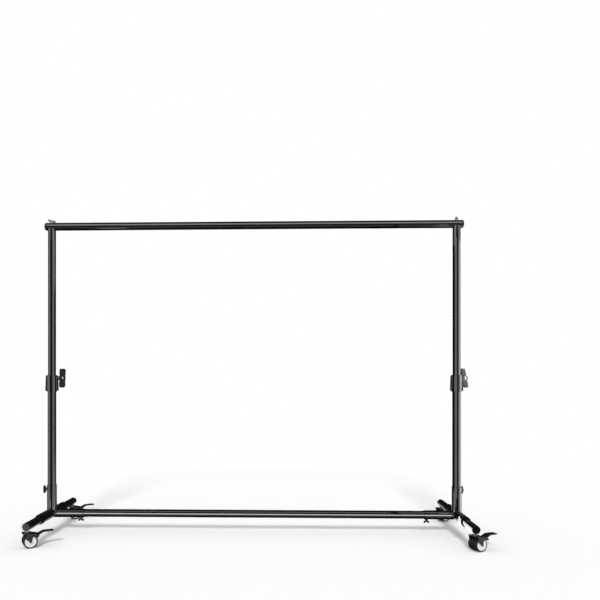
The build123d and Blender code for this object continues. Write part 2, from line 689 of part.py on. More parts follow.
for name, side in SIDES.items():
    save(f"{name}_base_fitting", base_fitting(side))
    save(f"{name}_foot_tube", foot_tube(side))
    save(f"{name}_foot_caps", *foot_caps(side))
    save(f"{name}_lower_post", lower_post(side))
    save(f"{name}_post_stop", post_stop(side))
    save(f"{name}_clamp_collar", clamp_collar(side))
    save(f"{name}_clamp_screw", clamp_screw(side))
    save(f"{name}_clamp_knob", clamp_knob(name, side))
    save(f"{name}_post_screw", post_screw(side))
    save(f"{name}_bar_screw", bar_screw(side))
    save(f"{name}_upper_post", upper_post(side))
    save(f"{name}_saddle", saddle(side))
    save(f"{name}_saddle_bolt", saddle_bolt(side))
    save(f"{name}_wing_nut", wing_nut(name, side))
    save(f"top_bar_{name}", crossbar_section(side, top_bar_end, top_bar_z, True))
    save(f"bottom_bar_{name}", crossbar_section(side, bottom_bar_end, foot_z, False))

save("top_bar_joint", crossbar_joint(top_bar_z))
save("bottom_bar_joint", crossbar_joint(foot_z))
save("top_bar_caps", bar_cap(-1), bar_cap(1))

for name, corner in CORNERS.items():
    place = caster_place(corner)
    save(f"{name}_caster_stem", *(place * solid for solid in caster_stem()))
    save(f"{name}_caster_fork", place * fork())
    save(f"{name}_caster_pins", *(place * solid for solid in caster_pins()))
    save(f"{name}_caster_hub", place * wheel_hub())
    save(f"{name}_caster_tyre", place * tyre())
    save(f"{name}_caster_pedal", place * brake_pedal())
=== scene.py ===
import json
import math

import bpy
from mathutils import Matrix, Vector


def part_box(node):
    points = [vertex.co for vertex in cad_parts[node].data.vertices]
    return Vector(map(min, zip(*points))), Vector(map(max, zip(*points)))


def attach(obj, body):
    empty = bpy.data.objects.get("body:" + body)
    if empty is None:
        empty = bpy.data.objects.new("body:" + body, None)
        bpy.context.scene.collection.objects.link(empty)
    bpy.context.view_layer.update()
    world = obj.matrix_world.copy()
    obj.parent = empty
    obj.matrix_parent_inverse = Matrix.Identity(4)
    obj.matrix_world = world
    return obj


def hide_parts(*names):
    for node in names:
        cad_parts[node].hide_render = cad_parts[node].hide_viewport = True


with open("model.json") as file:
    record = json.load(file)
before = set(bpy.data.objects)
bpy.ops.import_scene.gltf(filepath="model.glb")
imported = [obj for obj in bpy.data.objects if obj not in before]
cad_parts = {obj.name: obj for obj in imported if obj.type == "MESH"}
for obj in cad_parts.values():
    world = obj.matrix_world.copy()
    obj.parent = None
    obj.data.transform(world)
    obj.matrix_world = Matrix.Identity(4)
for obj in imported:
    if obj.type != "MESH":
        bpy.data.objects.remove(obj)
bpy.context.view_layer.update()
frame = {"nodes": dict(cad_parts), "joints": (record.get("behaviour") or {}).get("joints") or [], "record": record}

MM = 0.001
X_AXIS, Y_AXIS, Z_AXIS = (1, 0, 0), (0, 1, 0), (0, 0, 1)
SIDES = {"left": -1, "right": 1}
ENDS = {"front": -1, "rear": 1}
CORNERS = ("front_left", "front_right", "rear_left", "rear_right")
joints = {joint["name"]: joint for joint in frame["joints"]}
slots = {row["node"]: row["material_slot"] for row in frame["record"]["subparts"]}

# ---------------------------------------------------------------- camera

CAMERA_PLACE = (0.151, -2.848, 0.715)
CAMERA_TILT = 90.0                  # degrees: looks level
CAMERA_YAW = 1.5
CAMERA_LENS = 35.8
SENSOR = 36.0
CAMERA_SHIFT = (0.0525, 0.139)


def make_camera():
    data = bpy.data.cameras.new("camera")
    data.lens = CAMERA_LENS
    data.sensor_width = SENSOR
    data.shift_x, data.shift_y = CAMERA_SHIFT
    camera = bpy.data.objects.new("camera", data)
    camera.location = CAMERA_PLACE
    camera.rotation_euler = (math.radians(CAMERA_TILT), 0, math.radians(CAMERA_YAW))
    bpy.context.scene.collection.objects.link(camera)
    bpy.context.scene.camera = camera


# ---------------------------------------------------------------- node helpers


class Nodes:
    """Shorthand for building a node tree."""

    def __init__(self, tree):
        self.tree = tree
        tree.nodes.clear()

    def give(self, socket, value):
        if isinstance(value, bpy.types.NodeSocket):
            self.tree.links.new(value, socket)
        else:
            socket.default_value = value

    def add(self, kind, inputs=None, **settings):
        node = self.tree.nodes.new(kind)
        for key, value in settings.items():
            setattr(node, key, value)
        for key, value in (inputs or {}).items():
            self.give(node.inputs[key], value)
        return node

    def math(self, operation, *values):
        node = self.add("ShaderNodeMath", operation=operation)
        for index, value in enumerate(values):
            self.give(node.inputs[index], value)
        return node.outputs[0]

    def remap(self, value, start, end, low=0.0, high=1.0, smooth=False):
        """Maps start..end to low..high and holds the ends."""
        inputs = {"Value": value, "From Min": start, "From Max": end, "To Min": low, "To Max": high}
        kind = "SMOOTHSTEP" if smooth else "LINEAR"
        return self.add("ShaderNodeMapRange", inputs, interpolation_type=kind).outputs[0]

    def noise(self, place, scale, detail):
        inputs = {"Vector": place, "Scale": scale, "Detail": detail}
        return self.add("ShaderNodeTexNoise", inputs).outputs["Fac"]

    def mix(self, factor, dark, light):
        """Colour between dark and light."""
        node = self.add("ShaderNodeMix", data_type="RGBA")
        given = {("Factor", "VALUE"): factor, ("A", "RGBA"): dark, ("B", "RGBA"): light}
        for socket in node.inputs:
            if (socket.name, socket.type) in given:
                self.give(socket, given[socket.name, socket.type])
        return next(socket for socket in node.outputs if socket.type == "RGBA")


# ---------------------------------------------------------------- studio

WHITE = (1, 1, 1, 1)
FULL_LEVEL = 1.0                    # what the camera shows as white
SKY_LEVEL = 0.45
SUN_LEVEL = 1.6
SUN_TILT = 54.0                     # degrees from overhead, towards the front
SUN_TURN = -3.0
SUN_SPREAD = 12.0
FLOOR_SIZE = 80.0
FLOOR_COLOR = (0.94, 0.94, 0.94, 1)
FLOOR_SEEN = (1.32, 1.32, 1.32, 1)  # the floor's colour to the camera, which makes it white
FLOOR_FADE = (1.3, 2.6)             # metres from the origin, where the floor fades to plain white

# What gloss sees all round: azimuth from, to; elevation from, to; level.
# Azimuth is in degrees from straight ahead of the stand (-Y), positive to the right.
# It ends at 180 behind the stand, so the light there is two boxes.
SOFTBOXES = (
    (-95, -30, -45, 60, 1.4),       # left
    (32, 112, -60, 60, 1.5),        # right
    (-29, 31, -60, -25, 0.4),       # front, towards the floor
    (168, 184, -25, 2, 1.2),        # behind, right half
    (-184, -164, -25, 2, 1.2),      # behind, left half
)
BOX_EDGE = 3.0                      # softness of a box's edges, in degrees to each side
DARK_ROOM = 0.02

# Cards near the stand that only gloss sees, in metres: corner, first edge, second edge, level.
# A card is lit on the side that first edge x second edge points to, and black on the other.
# top_light and low_light draw the stripes of the crossbars, cap_light and foot_light light the ends
# of the feet, right_light and right_fill the right post, and black_flag keeps its inner side dark.
CARDS = {
    "top_light": ((1.5, -1.0, 1.76), (-3.0, 0, 0), (0, 0, 1.2), 2.6),
    "low_light": ((0.95, -0.041, 0.0835), (-1.9, 0, 0), (0, 0, 0.0165), 6.5),
    "cap_light": ((-1.22, -0.8, 0.001), (0.19, 0, 0), (0, 0.28, 0), 5.0),
    "foot_light": ((0.8, -0.1, 0.018), (0.19, 0, 0), (0, 0, 0.092), 3.2),
    "right_light": ((1.25, -0.15, 0.05), (0, 0, 1.4), (0, 0.27, 0), 4.5),
    "right_fill": ((0.955, -0.1, 0.16), (-0.043, 0, 0), (0, 0, 1.26), 1.5),
    "black_flag": ((0.7, -0.13, 0.16), (0, 1.1, 0), (0, 0, 1.26), 0.0),
}


def band(nodes, value, low, high, soft):
    """1 where value lies between low and high, with soft edges."""
    rise = nodes.remap(value, low - soft, low + soft, smooth=True)
    fall = nodes.remap(value, high - soft, high + soft, 1.0, 0.0, smooth=True)
    return nodes.math("MULTIPLY", rise, fall)


def make_world():
    world = bpy.data.worlds.new("studio")
    bpy.context.scene.world = world
    world.use_nodes = True
    nodes = Nodes(world.node_tree)
    direction = nodes.add("ShaderNodeTexCoord").outputs["Generated"]
    split = nodes.add("ShaderNodeSeparateXYZ", {"Vector": direction})
    ahead = nodes.math("MULTIPLY", split.outputs["Y"], -1.0)
    azimuth = nodes.math("DEGREES", nodes.math("ARCTAN2", split.outputs["X"], ahead))
    elevation = nodes.math("DEGREES", nodes.math("ARCSINE", split.outputs["Z"]))
    level = DARK_ROOM
    for az_low, az_high, el_low, el_high, strength in SOFTBOXES:
        box = nodes.math("MULTIPLY", band(nodes, azimuth, az_low, az_high, BOX_EDGE),
                         band(nodes, elevation, el_low, el_high, BOX_EDGE))
        level = nodes.math("ADD", level, nodes.math("MULTIPLY", box, strength))
    gloss = nodes.add("ShaderNodeBackground", {"Color": WHITE, "Strength": level})
    sky = nodes.add("ShaderNodeBackground", {"Color": WHITE, "Strength": SKY_LEVEL})
    plain = nodes.add("ShaderNodeBackground", {"Color": WHITE, "Strength": FULL_LEVEL})
    path = nodes.add("ShaderNodeLightPath")
    shiny = nodes.math("MAXIMUM", path.outputs["Is Glossy Ray"], path.outputs["Is Transmission Ray"])
    lit = nodes.add("ShaderNodeMixShader", {0: shiny, 1: sky.outputs[0], 2: gloss.outputs[0]})
    seen = nodes.add("ShaderNodeMixShader",
                     {0: path.outputs["Is Camera Ray"], 1: lit.outputs[0], 2: plain.outputs[0]})
    nodes.add("ShaderNodeOutputWorld", {"Surface": seen.outputs[0]})


def make_sun():
    data = bpy.data.lights.new("key", "SUN")
    data.energy = SUN_LEVEL
    data.angle = math.radians(SUN_SPREAD)
    lamp = bpy.data.objects.new("key", data)
    lamp.rotation_euler = (math.radians(SUN_TILT), 0, math.radians(SUN_TURN))
    lamp.visible_glossy = False
    bpy.context.scene.collection.objects.link(lamp)


def flat_sheet(name, corner, first, second):
    """A stage sheet spanned by two edges, and the node tree of its material."""
    corner, first, second = Vector(corner), Vector(first), Vector(second)
    points = [corner, corner + first, corner + first + second, corner + second]
    mesh = bpy.data.meshes.new(name)
    mesh.from_pydata(points, [], [(0, 1, 2, 3)])
    sheet = bpy.data.objects.new(name, mesh)
    bpy.context.scene.collection.objects.link(sheet)
    material = bpy.data.materials.new(name)
    material.use_nodes = True
    mesh.materials.append(material)
    return sheet, Nodes(material.node_tree)


def make_cards():
    for name, (corner, first, second, level) in CARDS.items():
        card, nodes = flat_sheet(name, corner, first, second)
        card.visible_camera = False
        card.visible_diffuse = False
        card.visible_transmission = False
        card.visible_shadow = False
        behind = nodes.add("ShaderNodeNewGeometry").outputs["Backfacing"]
        strength = nodes.remap(behind, 0.0, 1.0, level, 0.0)
        glow = nodes.add("ShaderNodeEmission", {"Color": WHITE, "Strength": strength})
        nodes.add("ShaderNodeOutputMaterial", {"Surface": glow.outputs[0]})


def make_floor():
    """White floor that takes the stand's shadow and fades to plain white further out."""
    half = FLOOR_SIZE / 2
    floor, nodes = flat_sheet("floor", (-half, -half, 0), (FLOOR_SIZE, 0, 0), (0, FLOOR_SIZE, 0))
    floor.visible_glossy = False
    path = nodes.add("ShaderNodeLightPath")
    color = nodes.mix(path.outputs["Is Camera Ray"], FLOOR_COLOR, FLOOR_SEEN)
    paper = nodes.add("ShaderNodeBsdfDiffuse", {"Color": color})
    plain = nodes.add("ShaderNodeEmission", {"Color": WHITE, "Strength": FULL_LEVEL})
    place = nodes.add("ShaderNodeTexCoord").outputs["Object"]
    away = nodes.add("ShaderNodeVectorMath", {0: place}, operation="LENGTH").outputs["Value"]
    faded = nodes.remap(away, *FLOOR_FADE, smooth=True)
    factor = nodes.math("MULTIPLY", faded, path.outputs["Is Camera Ray"])
    both = nodes.add("ShaderNodeMixShader", {0: factor, 1: paper.outputs[0], 2: plain.outputs[0]})
    nodes.add("ShaderNodeOutputMaterial", {"Surface": both.outputs[0]})


# ---------------------------------------------------------------- materials

GRAIN_DETAIL = 3.0
DRIFT_SCALE = 9.0                   # slow change of shade and roughness over a piece
DRIFT_DETAIL = 4.0
DRIFT_RANGE = (0.3, 0.7)            # of the noise, over which the roughness goes from low to high
STREAK_SCALE = 900.0                # fine scratches and rubbed spots
STREAK_DETAIL = 2.0
STREAK_RANGE = (0.66, 0.8)
WORN_RANGE = (0.5, 0.66)            # of the drift, where scratches come in
WORN_ROUGHNESS = 0.05
USUAL_IOR = 1.5


def surface(name, color, roughness, grain, bump, scuff=0.0, vary=0.15, along=(1, 1, 1), ior=USUAL_IOR,
            metallic=0.0):
    """A procedural finish.

    color and roughness drift slowly over the piece, color by the share vary. grain is the size of the
    fine grain in metres and bump its height. scuff is how much paler sparse rubbed spots and fine
    scratches are, and along scales the axes: the scratches are drawn out where it is small."""
    material = bpy.data.materials.new(name)
    material.use_nodes = True
    nodes = Nodes(material.node_tree)
    place = nodes.add("ShaderNodeTexCoord").outputs["Object"]
    drawn = nodes.add("ShaderNodeMapping", {"Vector": place, "Scale": along}).outputs[0]
    fine = nodes.noise(place, 1 / grain, GRAIN_DETAIL)
    drift = nodes.noise(place, DRIFT_SCALE, DRIFT_DETAIL)
    streaks = nodes.noise(drawn, STREAK_SCALE, STREAK_DETAIL)
    dark = tuple(c * (1 - vary) for c in color) + (1,)
    light = tuple(min(1, c * (1 + vary)) for c in color) + (1,)
    tint = nodes.mix(drift, dark, light)
    worn = nodes.math("MULTIPLY", nodes.remap(streaks, *STREAK_RANGE), nodes.remap(drift, *WORN_RANGE))
    pale = tuple(min(1, c + scuff) for c in color) + (1,)
    tint = nodes.mix(worn, tint, pale)
    rough = nodes.math("ADD", nodes.remap(drift, *DRIFT_RANGE, *roughness),
                       nodes.math("MULTIPLY", worn, WORN_ROUGHNESS))
    lifted = nodes.add("ShaderNodeBump", {"Height": fine, "Distance": bump, "Strength": 1.0}).outputs[0]
    shader = nodes.add("ShaderNodeBsdfPrincipled", {
        "Base Color": tint, "Roughness": rough, "Normal": lifted, "IOR": ior, "Metallic": metallic,
    })
    nodes.add("ShaderNodeOutputMaterial", {"Surface": shader.outputs[0]})
    return material


PAINT_IOR = 1.75
PLASTIC_IOR = 1.36
FORK_IOR = 1.4
RUBBER_IOR = 1.45

# Colour, roughness from and to, size of the grain and height of its bump in metres, scuff
PAINT = (0.005, 0.005, 0.0055)
TUBE_PAINT = (PAINT, (0.09, 0.14), 0.002, 6e-7, 0.006)
BASE_PAINT = (PAINT, (0.11, 0.17), 0.0015, 1.5e-6, 0.01)
DARK_STEEL = ((0.02, 0.02, 0.022), (0.3, 0.4), 0.0008, 4e-6, 0.06)
HUB_PLASTIC = ((0.9, 0.9, 0.89), (0.25, 0.35), 0.0008, 4e-6, 0.0)
HUB_VARY = 0.02
# The tubes' scratches run along each tube
TUBE_SCRATCHES = {"tube_paint": (1, 1, 0.02), "tube_paint_x": (0.02, 1, 1), "tube_paint_y": (1, 0.02, 1)}

# Shade, roughness from and to, size of the grain and height of its bump in metres
STEELS = {
    "joining_tube": (0.5, (0.3, 0.4), 0.001, 5e-6),
    "bright_steel": (0.3, (0.16, 0.26), 0.0006, 3e-6),
    "black_steel": (0.1, (0.16, 0.26), 0.0006, 3e-6),
    "dull_steel": (0.14, (0.24, 0.34), 0.0006, 3e-6),
}
STEEL_BLUE = 1.04                   # blue of a steel, against its red and green

# The same, then scuff and IOR
PLASTICS = {
    "collar_plastic": (0.006, (0.12, 0.18), 0.0006, 2e-6, 0.01, PAINT_IOR),
    "knob_plastic": (0.004, (0.36, 0.46), 0.0005, 1.2e-5, 0.02, PLASTIC_IOR),
    "cap_plastic": (0.005, (0.18, 0.26), 0.0006, 5e-6, 0.015, PLASTIC_IOR),
    "fork_plastic": (0.004, (0.26, 0.34), 0.0006, 6e-6, 0.015, FORK_IOR),
    "tyre_rubber": (0.009, (0.36, 0.5), 0.0006, 1.2e-5, 0.02, RUBBER_IOR),
    "pedal_plastic": (0.005, (0.3, 0.4), 0.0006, 8e-6, 0.02, RUBBER_IOR),
}
PLASTIC_BLUE = 1.05


def make_materials():
    made = {
        "base_paint": surface("base_paint", *BASE_PAINT, ior=PAINT_IOR),
        "dark_steel": surface("dark_steel", *DARK_STEEL),
        "hub_plastic": surface("hub_plastic", *HUB_PLASTIC, vary=HUB_VARY),
    }
    for name, along in TUBE_SCRATCHES.items():
        made[name] = surface(name, *TUBE_PAINT, along=along, ior=PAINT_IOR)
    for name, (shade, *finish) in STEELS.items():
        made[name] = surface(name, (shade, shade, shade * STEEL_BLUE), *finish, metallic=1.0)
    for name, (shade, *finish, ior) in PLASTICS.items():
        made[name] = surface(name, (shade, shade, shade * PLASTIC_BLUE), *finish, ior=ior)
    return made


make_camera()
make_world()
make_sun()
make_floor()
make_cards()
bpy.context.scene.view_settings.view_transform = "Standard"
finishes = make_materials()


def finish_of(node):
    """A node's finish. It goes by the slot, apart from tubes that lie flat and the small screws."""
    if "bar_screw" in node:
        return finishes["black_steel"]
    if "wing_nut" in node:
        return finishes["dull_steel"]
    if slots[node] == "tube_paint" and "bar" in node:
        return finishes["tube_paint_x"]
    if slots[node] == "tube_paint" and "foot" in node:
        return finishes["tube_paint_y"]
    return finishes[slots[node]]


for name, node in frame["nodes"].items():
    for entry in node.material_slots:
        entry.material = finish_of(name)

# ---------------------------------------------------------------- mesh helpers

ROUND_STEPS = 72
CORNER_STEPS = 3                    # in the quarter circle of a rounded corner
BEAD_SIDES = 10
SHARP_ANGLE = 35.0                  # degrees between two faces, over which their edge is drawn sharp
CLEARANCE = 0.1 * MM
NEAR = 1.0 * MM                     # how far from a face a size is read


def middle(node):
    low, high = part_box(node)
    return Vector([(a + b) / 2 for a, b in zip(low, high)])


def half_size(node, axis):
    low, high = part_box(node)
    return (high[axis] - low[axis]) / 2


def about_axis(node, origin, axis):
    """Place along an axis and distance from it, for each vertex of a node."""
    axis = Vector(axis).normalized()
    found = []
    for vertex in frame["nodes"][node].data.vertices:
        away = vertex.co - Vector(origin)
        along = away.dot(axis)
        found.append((along, (away - axis * along).length))
    return found


def girth(node, origin, axis, low=-math.inf, high=math.inf):
    """Largest distance of a node's vertices from an axis, between low and high along it."""
    return max(away for along, away in about_axis(node, origin, axis) if low <= along <= high)


def girth_near(node, origin, axis, place):
    return girth(node, origin, axis, place - NEAR, place + NEAR)


def standing(origin, axis):
    """Place whose +Z is axis."""
    return Matrix.Translation(Vector(origin)) @ Vector(axis).to_track_quat("Z", "Y").to_matrix().to_4x4()


def piece(name, points, faces, body, slot, place=Matrix.Identity(4)):
    mesh = bpy.data.meshes.new(name)
    mesh.from_pydata([place @ Vector(point) for point in points], [], faces)
    mesh.update()
    mesh.shade_smooth()
    mesh.materials.append(finishes[slot])
    made = bpy.data.objects.new(name, mesh)
    bpy.context.scene.collection.objects.link(made)
    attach(made, body)
    return made


def crisp(made):
    """Keeps a piece's sharp edges from being shaded round."""
    made.data.set_sharp_from_angle(angle=math.radians(SHARP_ANGLE))
    return made


def turned(count):
    """Angles of count even steps round a circle."""
    return [2 * math.pi * step / count for step in range(count)]


def loft(rows, closed_rows=False):
    """Points and faces of a skin over rows of equal length, each a closed loop.

    The faces point out where a row is counter-clockwise as seen from the next, and otherwise in."""
    count = len(rows[0])
    points = [point for row in rows for point in row]
    last = len(rows) if closed_rows else len(rows) - 1
    faces = []
    for i in range(last):
        j = (i + 1) % len(rows)
        for k in range(count):
            m = (k + 1) % count
            faces.append((i * count + k, i * count + m, j * count + m, j * count + k))
    return points, faces


def end_faces(rows):
    """The first and the last row of a loft as faces."""
    count = len(rows[0])
    total = len(rows) * count
    return tuple(range(count)), tuple(range(total - count, total))


def lathe(name, outline, body, slot, place):
    """Ring turned about +Z from a closed outline of (radius, height) points, counter-clockwise.

    Its faces point in."""
    rows = []
    for turn in turned(ROUND_STEPS):
        rows.append([(r * math.cos(turn), r * math.sin(turn), h) for r, h in outline])
    points, faces = loft(rows, closed_rows=True)
    return crisp(piece(name, points, faces, body, slot, place))


def arc(center_r, center_h, radius, start, end, steps):
    """Outline points of an arc between two angles in degrees."""
    points = []
    for step in range(steps + 1):
        turn = math.radians(start + (end - start) * step / steps)
        points.append((center_r + radius * math.cos(turn), center_h + radius * math.sin(turn)))
    return points


def rounded_band(inner, outer, low, high, edge):
    """Outline of a ring whose outer corners are rounded."""
    under = arc(outer - edge, low + edge, edge, -90, 0, CORNER_STEPS)
    over = arc(outer - edge, high - edge, edge, 0, 90, CORNER_STEPS)
    return [(inner, low), *under, *over, (inner, high)]


def bead(name, path, radius, body, slot, ripple=0.0, waves=0):
    """Round bead along a closed path; ripple and waves give it the scales of a weld."""
    rows = []
    count = len(path)
    for i, point in enumerate(path):
        ahead = Vector(path[(i + 1) % count]) - Vector(path[i - 1])
        turn = ahead.normalized().to_track_quat("Z", "Y").to_matrix()
        swell = radius * (1 + ripple * math.cos(2 * math.pi * waves * i / count))
        rows.append([Vector(point) + turn @ Vector((swell * math.cos(angle), swell * math.sin(angle), 0))
                     for angle in turned(BEAD_SIDES)])
    points, faces = loft(rows, closed_rows=True)
    return piece(name, points, faces, body, slot)


# ---------------------------------------------------------------- T-bases

WELD = 1.5 * MM
WELD_RIPPLE = 0.14
WELD_WAVES = 44
WELD_STEPS = 264
LINER = 1.2 * MM                    # plastic liner standing out of a socket's mouth
LINER_EDGE = 0.5 * MM

# Rings moulded on a foot cap's face: outer radius and width, as shares of the cap's radius
CAP_RINGS = ((0.62, 0.13), (0.3, 0.3))
CAP_RING_HEIGHT = 0.6 * MM


def weld(name, corner, branch_r, main_r, across, up):
    """Weld where a round branch along up meets the foot sleeve, which lies along Y."""
    across, along, up = Vector(across), Vector(Y_AXIS), Vector(up)
    path = []
    for turn in turned(WELD_STEPS):
        aside = branch_r * math.cos(turn)
        path.append(corner + across * aside + along * branch_r * math.sin(turn)
                    + up * math.sqrt(max(0.0, main_r**2 - aside**2)))
    bead(name, path, WELD, "frame_base", "base_paint", ripple=WELD_RIPPLE, waves=WELD_WAVES)


def liner(name, tube_r, socket_r, place):
    """Liner between a tube and the mouth of its socket."""
    outline = rounded_band(tube_r + CLEARANCE, socket_r + CLEARANCE, 0, LINER, LINER_EDGE)
    lathe(name, outline, "frame_base", "cap_plastic", place)


def dress_base(name, side):
    fitting = f"{name}_base_fitting"
    foot_axis = middle(f"{name}_foot_tube")
    post_axis = middle(f"{name}_lower_post")
    bar_axis = middle(f"bottom_bar_{name}")
    low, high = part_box(fitting)
    inward = Vector((-side, 0, 0))
    mouth_x = low[0] if side > 0 else high[0]
    sleeve_r = girth_near(fitting, foot_axis, Y_AXIS, high[1])
    post_socket_r = girth_near(fitting, post_axis, Z_AXIS, high[2] - post_axis.z)
    bar_socket_r = girth_near(fitting, bar_axis, inward, -side * (mouth_x - bar_axis.x))

    corner = Vector((foot_axis.x, 0, foot_axis.z))
    weld(f"{name}_post_weld", corner, post_socket_r, sleeve_r, X_AXIS, Z_AXIS)
    weld(f"{name}_bar_weld", corner, bar_socket_r, sleeve_r, Z_AXIS, inward)

    liner(f"{name}_post_liner", half_size(f"{name}_lower_post", 0), post_socket_r,
          standing((post_axis.x, 0, high[2]), Z_AXIS))
    liner(f"{name}_bar_liner", half_size(f"bottom_bar_{name}", 1), bar_socket_r,
          standing((mouth_x, 0, bar_axis.z), inward))
    for end, way in ENDS.items():
        y = low[1] if way < 0 else high[1]
        liner(f"{name}_{end}_foot_liner", half_size(f"{name}_foot_tube", 0), sleeve_r,
              standing((foot_axis.x, y, foot_axis.z), (0, way, 0)))


def dress_foot_caps(name):
    low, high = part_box(f"{name}_foot_caps")
    axis = middle(f"{name}_foot_caps")
    cap_r = half_size(f"{name}_foot_caps", 0)
    for end, way in ENDS.items():
        y = low[1] if way < 0 else high[1]
        for number, (outer, width) in enumerate(CAP_RINGS):
            outline = rounded_band(cap_r * (outer - width) + CLEARANCE, cap_r * outer, -CLEARANCE,
                                   CAP_RING_HEIGHT, CAP_RING_HEIGHT / 2)
            lathe(f"{name}_{end}_cap_ring_{number}", outline, "frame_base", "cap_plastic",
                  standing((axis.x, y, axis.z), (0, way, 0)))


# ---------------------------------------------------------------- clamps and knobs

WIPER_HEIGHT = 2.2 * MM
WIPER_EDGE = 0.8 * MM
WIPER_INSET = 1.2 * MM
COLLAR_RIB = 0.5 * MM
COLLAR_RIB_WIDTH = 1.6 * MM
COLLAR_RIB_PLACES = (0.07, 0.93)    # shares of the collar's height
KNOB_HUB = 2.75                     # radius, as a multiple of the screw's
KNOB_BAND = (0.34, 0.62)            # from and to, as shares of the knob's depth
KNOB_BAND_SUNK = 0.6 * MM
KNOB_BAND_PROUD = 0.25 * MM
KNOB_BAND_EDGE = 0.2 * MM
INSERT = (0.55, 1.35)               # inner and outer radius, as multiples of the screw's
INSERT_SUNK = 1.0 * MM
INSERT_PROUD = 0.7 * MM
INSERT_EDGE = 0.4 * MM

THREAD_PITCH = 1.25 * MM
THREAD_HEIGHT = 0.35 * MM
THREAD_STEPS = 36                   # in one turn
THREAD_RUN_OUT = 4                  # the ridge rises over one fourth of its length at each end
# Section of the ridge: height, and half width along the screw as a share of the pitch
THREAD_FOOT = (-0.2, 0.38)
THREAD_CREST = (1.0, 0.06)
CLAMP_THREAD_REACH = 1.6            # pitches before the knob
CLAMP_THREAD_LENGTH = 1.8           # pitches
BOLT_THREAD_LENGTH = 3
BOLT_THREAD_DROP = 0.5              # pitches from the bolt's end


def thread(name, radius, start, length, body, place):
    """Helical thread ridge on a screw, from start along +Z. The faces of its sides point in."""
    turns = length / THREAD_PITCH
    steps = int(THREAD_STEPS * turns)
    rows = []
    for step in range(steps + 1):
        angle = 2 * math.pi * turns * step / steps
        fade = min(1.0, THREAD_RUN_OUT * step / steps, THREAD_RUN_OUT * (steps - step) / steps)
        h = start + length * step / steps
        foot_r = radius + THREAD_HEIGHT * THREAD_FOOT[0]
        crest_r = radius + THREAD_HEIGHT * THREAD_CREST[0] * fade
        row = []
        for r, shift in ((foot_r, -THREAD_FOOT[1]), (crest_r, -THREAD_CREST[1]),
                         (crest_r, THREAD_CREST[1]), (foot_r, THREAD_FOOT[1])):
            row.append((r * math.cos(angle), r * math.sin(angle), h + THREAD_PITCH * shift))
        rows.append(row)
    points, faces = loft(rows)
    first, last = end_faces(rows)
    crisp(piece(name, points, [*faces, first, last[::-1]], body, "bright_steel", place))


def dress_clamp(name):
    collar = f"{name}_clamp_collar"
    low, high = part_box(collar)
    post_x = middle(f"{name}_upper_post").x
    upper_r = half_size(f"{name}_upper_post", 0)
    collar_r = half_size(collar, 1)
    wiper = rounded_band(upper_r + CLEARANCE, collar_r - WIPER_INSET, -CLEARANCE, WIPER_HEIGHT, WIPER_EDGE)
    lathe(f"{name}_wiper_ring", wiper, "frame_base", "collar_plastic", standing((post_x, 0, high[2]), Z_AXIS))
    half = COLLAR_RIB_WIDTH / 2
    rib = rounded_band(collar_r - COLLAR_RIB, collar_r + COLLAR_RIB, -half, half, COLLAR_RIB / 2)
    for number, share in enumerate(COLLAR_RIB_PLACES):
        z = low[2] + share * (high[2] - low[2])
        lathe(f"{name}_collar_rib_{number}", rib, "frame_base", "collar_plastic",
              standing((post_x, 0, z), Z_AXIS))

    joint = joints[f"{name}_clamp_turn"]
    origin, axis = joint["pos_m"], joint["axis"]
    knob = [along for along, away in about_axis(f"{name}_clamp_knob", origin, axis)]
    start, end = min(knob), max(knob)
    screw_r = girth(f"{name}_clamp_screw", origin, axis, 0, end)
    place = standing(origin, axis)
    thread(f"{name}_clamp_thread", screw_r, start - THREAD_PITCH * CLAMP_THREAD_REACH,
           THREAD_PITCH * CLAMP_THREAD_LENGTH, f"{name}_clamp", place)
    hub_r = screw_r * KNOB_HUB
    band_start, band_end = (start + (end - start) * share for share in KNOB_BAND)
    ring = rounded_band(hub_r - KNOB_BAND_SUNK, hub_r + KNOB_BAND_PROUD, band_start, band_end, KNOB_BAND_EDGE)
    lathe(f"{name}_knob_band", ring, f"{name}_clamp", "bright_steel", place)
    insert = rounded_band(screw_r * INSERT[0], screw_r * INSERT[1], end - INSERT_SUNK, end + INSERT_PROUD,
                          INSERT_EDGE)
    lathe(f"{name}_knob_insert", insert, f"{name}_clamp", "bright_steel", place)


# ---------------------------------------------------------------- saddles, crossbars and caps

WASHER_RADIUS = 9.6 * MM
WASHER_SEAT = 0.05 * MM
SEAM_WIDTH = 1.4 * MM
SEAM_PROUD = 0.25 * MM
CAP_FLANGE = 1.2 * MM
CAP_FLANGE_PROUD = 0.5 * MM


def dress_saddle(name):
    """Curved washer under the wing nut, whose faces point in, and the bolt's thread above it."""
    bar_z = middle(f"top_bar_{name}").z
    bar_r = half_size(f"top_bar_{name}", 1)
    bolt = middle(f"{name}_saddle_bolt")
    bolt_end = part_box(f"{name}_saddle_bolt")[1][2] - bolt.z
    bolt_r = girth_near(f"{name}_saddle_bolt", bolt, Z_AXIS, bolt_end)
    hole_r = bolt_r + CLEARANCE
    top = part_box(f"{name}_wing_nut")[0][2] - WASHER_SEAT
    rows = []
    for turn in turned(ROUND_STEPS):
        row = []
        for r, upper in ((hole_r, False), (WASHER_RADIUS, False), (WASHER_RADIUS, True), (hole_r, True)):
            x, y = r * math.cos(turn), r * math.sin(turn)
            z = top if upper else bar_z + math.sqrt(bar_r**2 - y**2) + WASHER_SEAT
            row.append((bolt.x + x, y, z))
        rows.append(row)
    crisp(piece(f"{name}_seat_washer", *loft(rows, closed_rows=True), "upper_frame", "bright_steel"))
    length = BOLT_THREAD_LENGTH * THREAD_PITCH
    thread(f"{name}_bolt_thread", bolt_r, bolt_end - length - BOLT_THREAD_DROP * THREAD_PITCH, length,
           "upper_frame", standing(bolt, Z_AXIS))


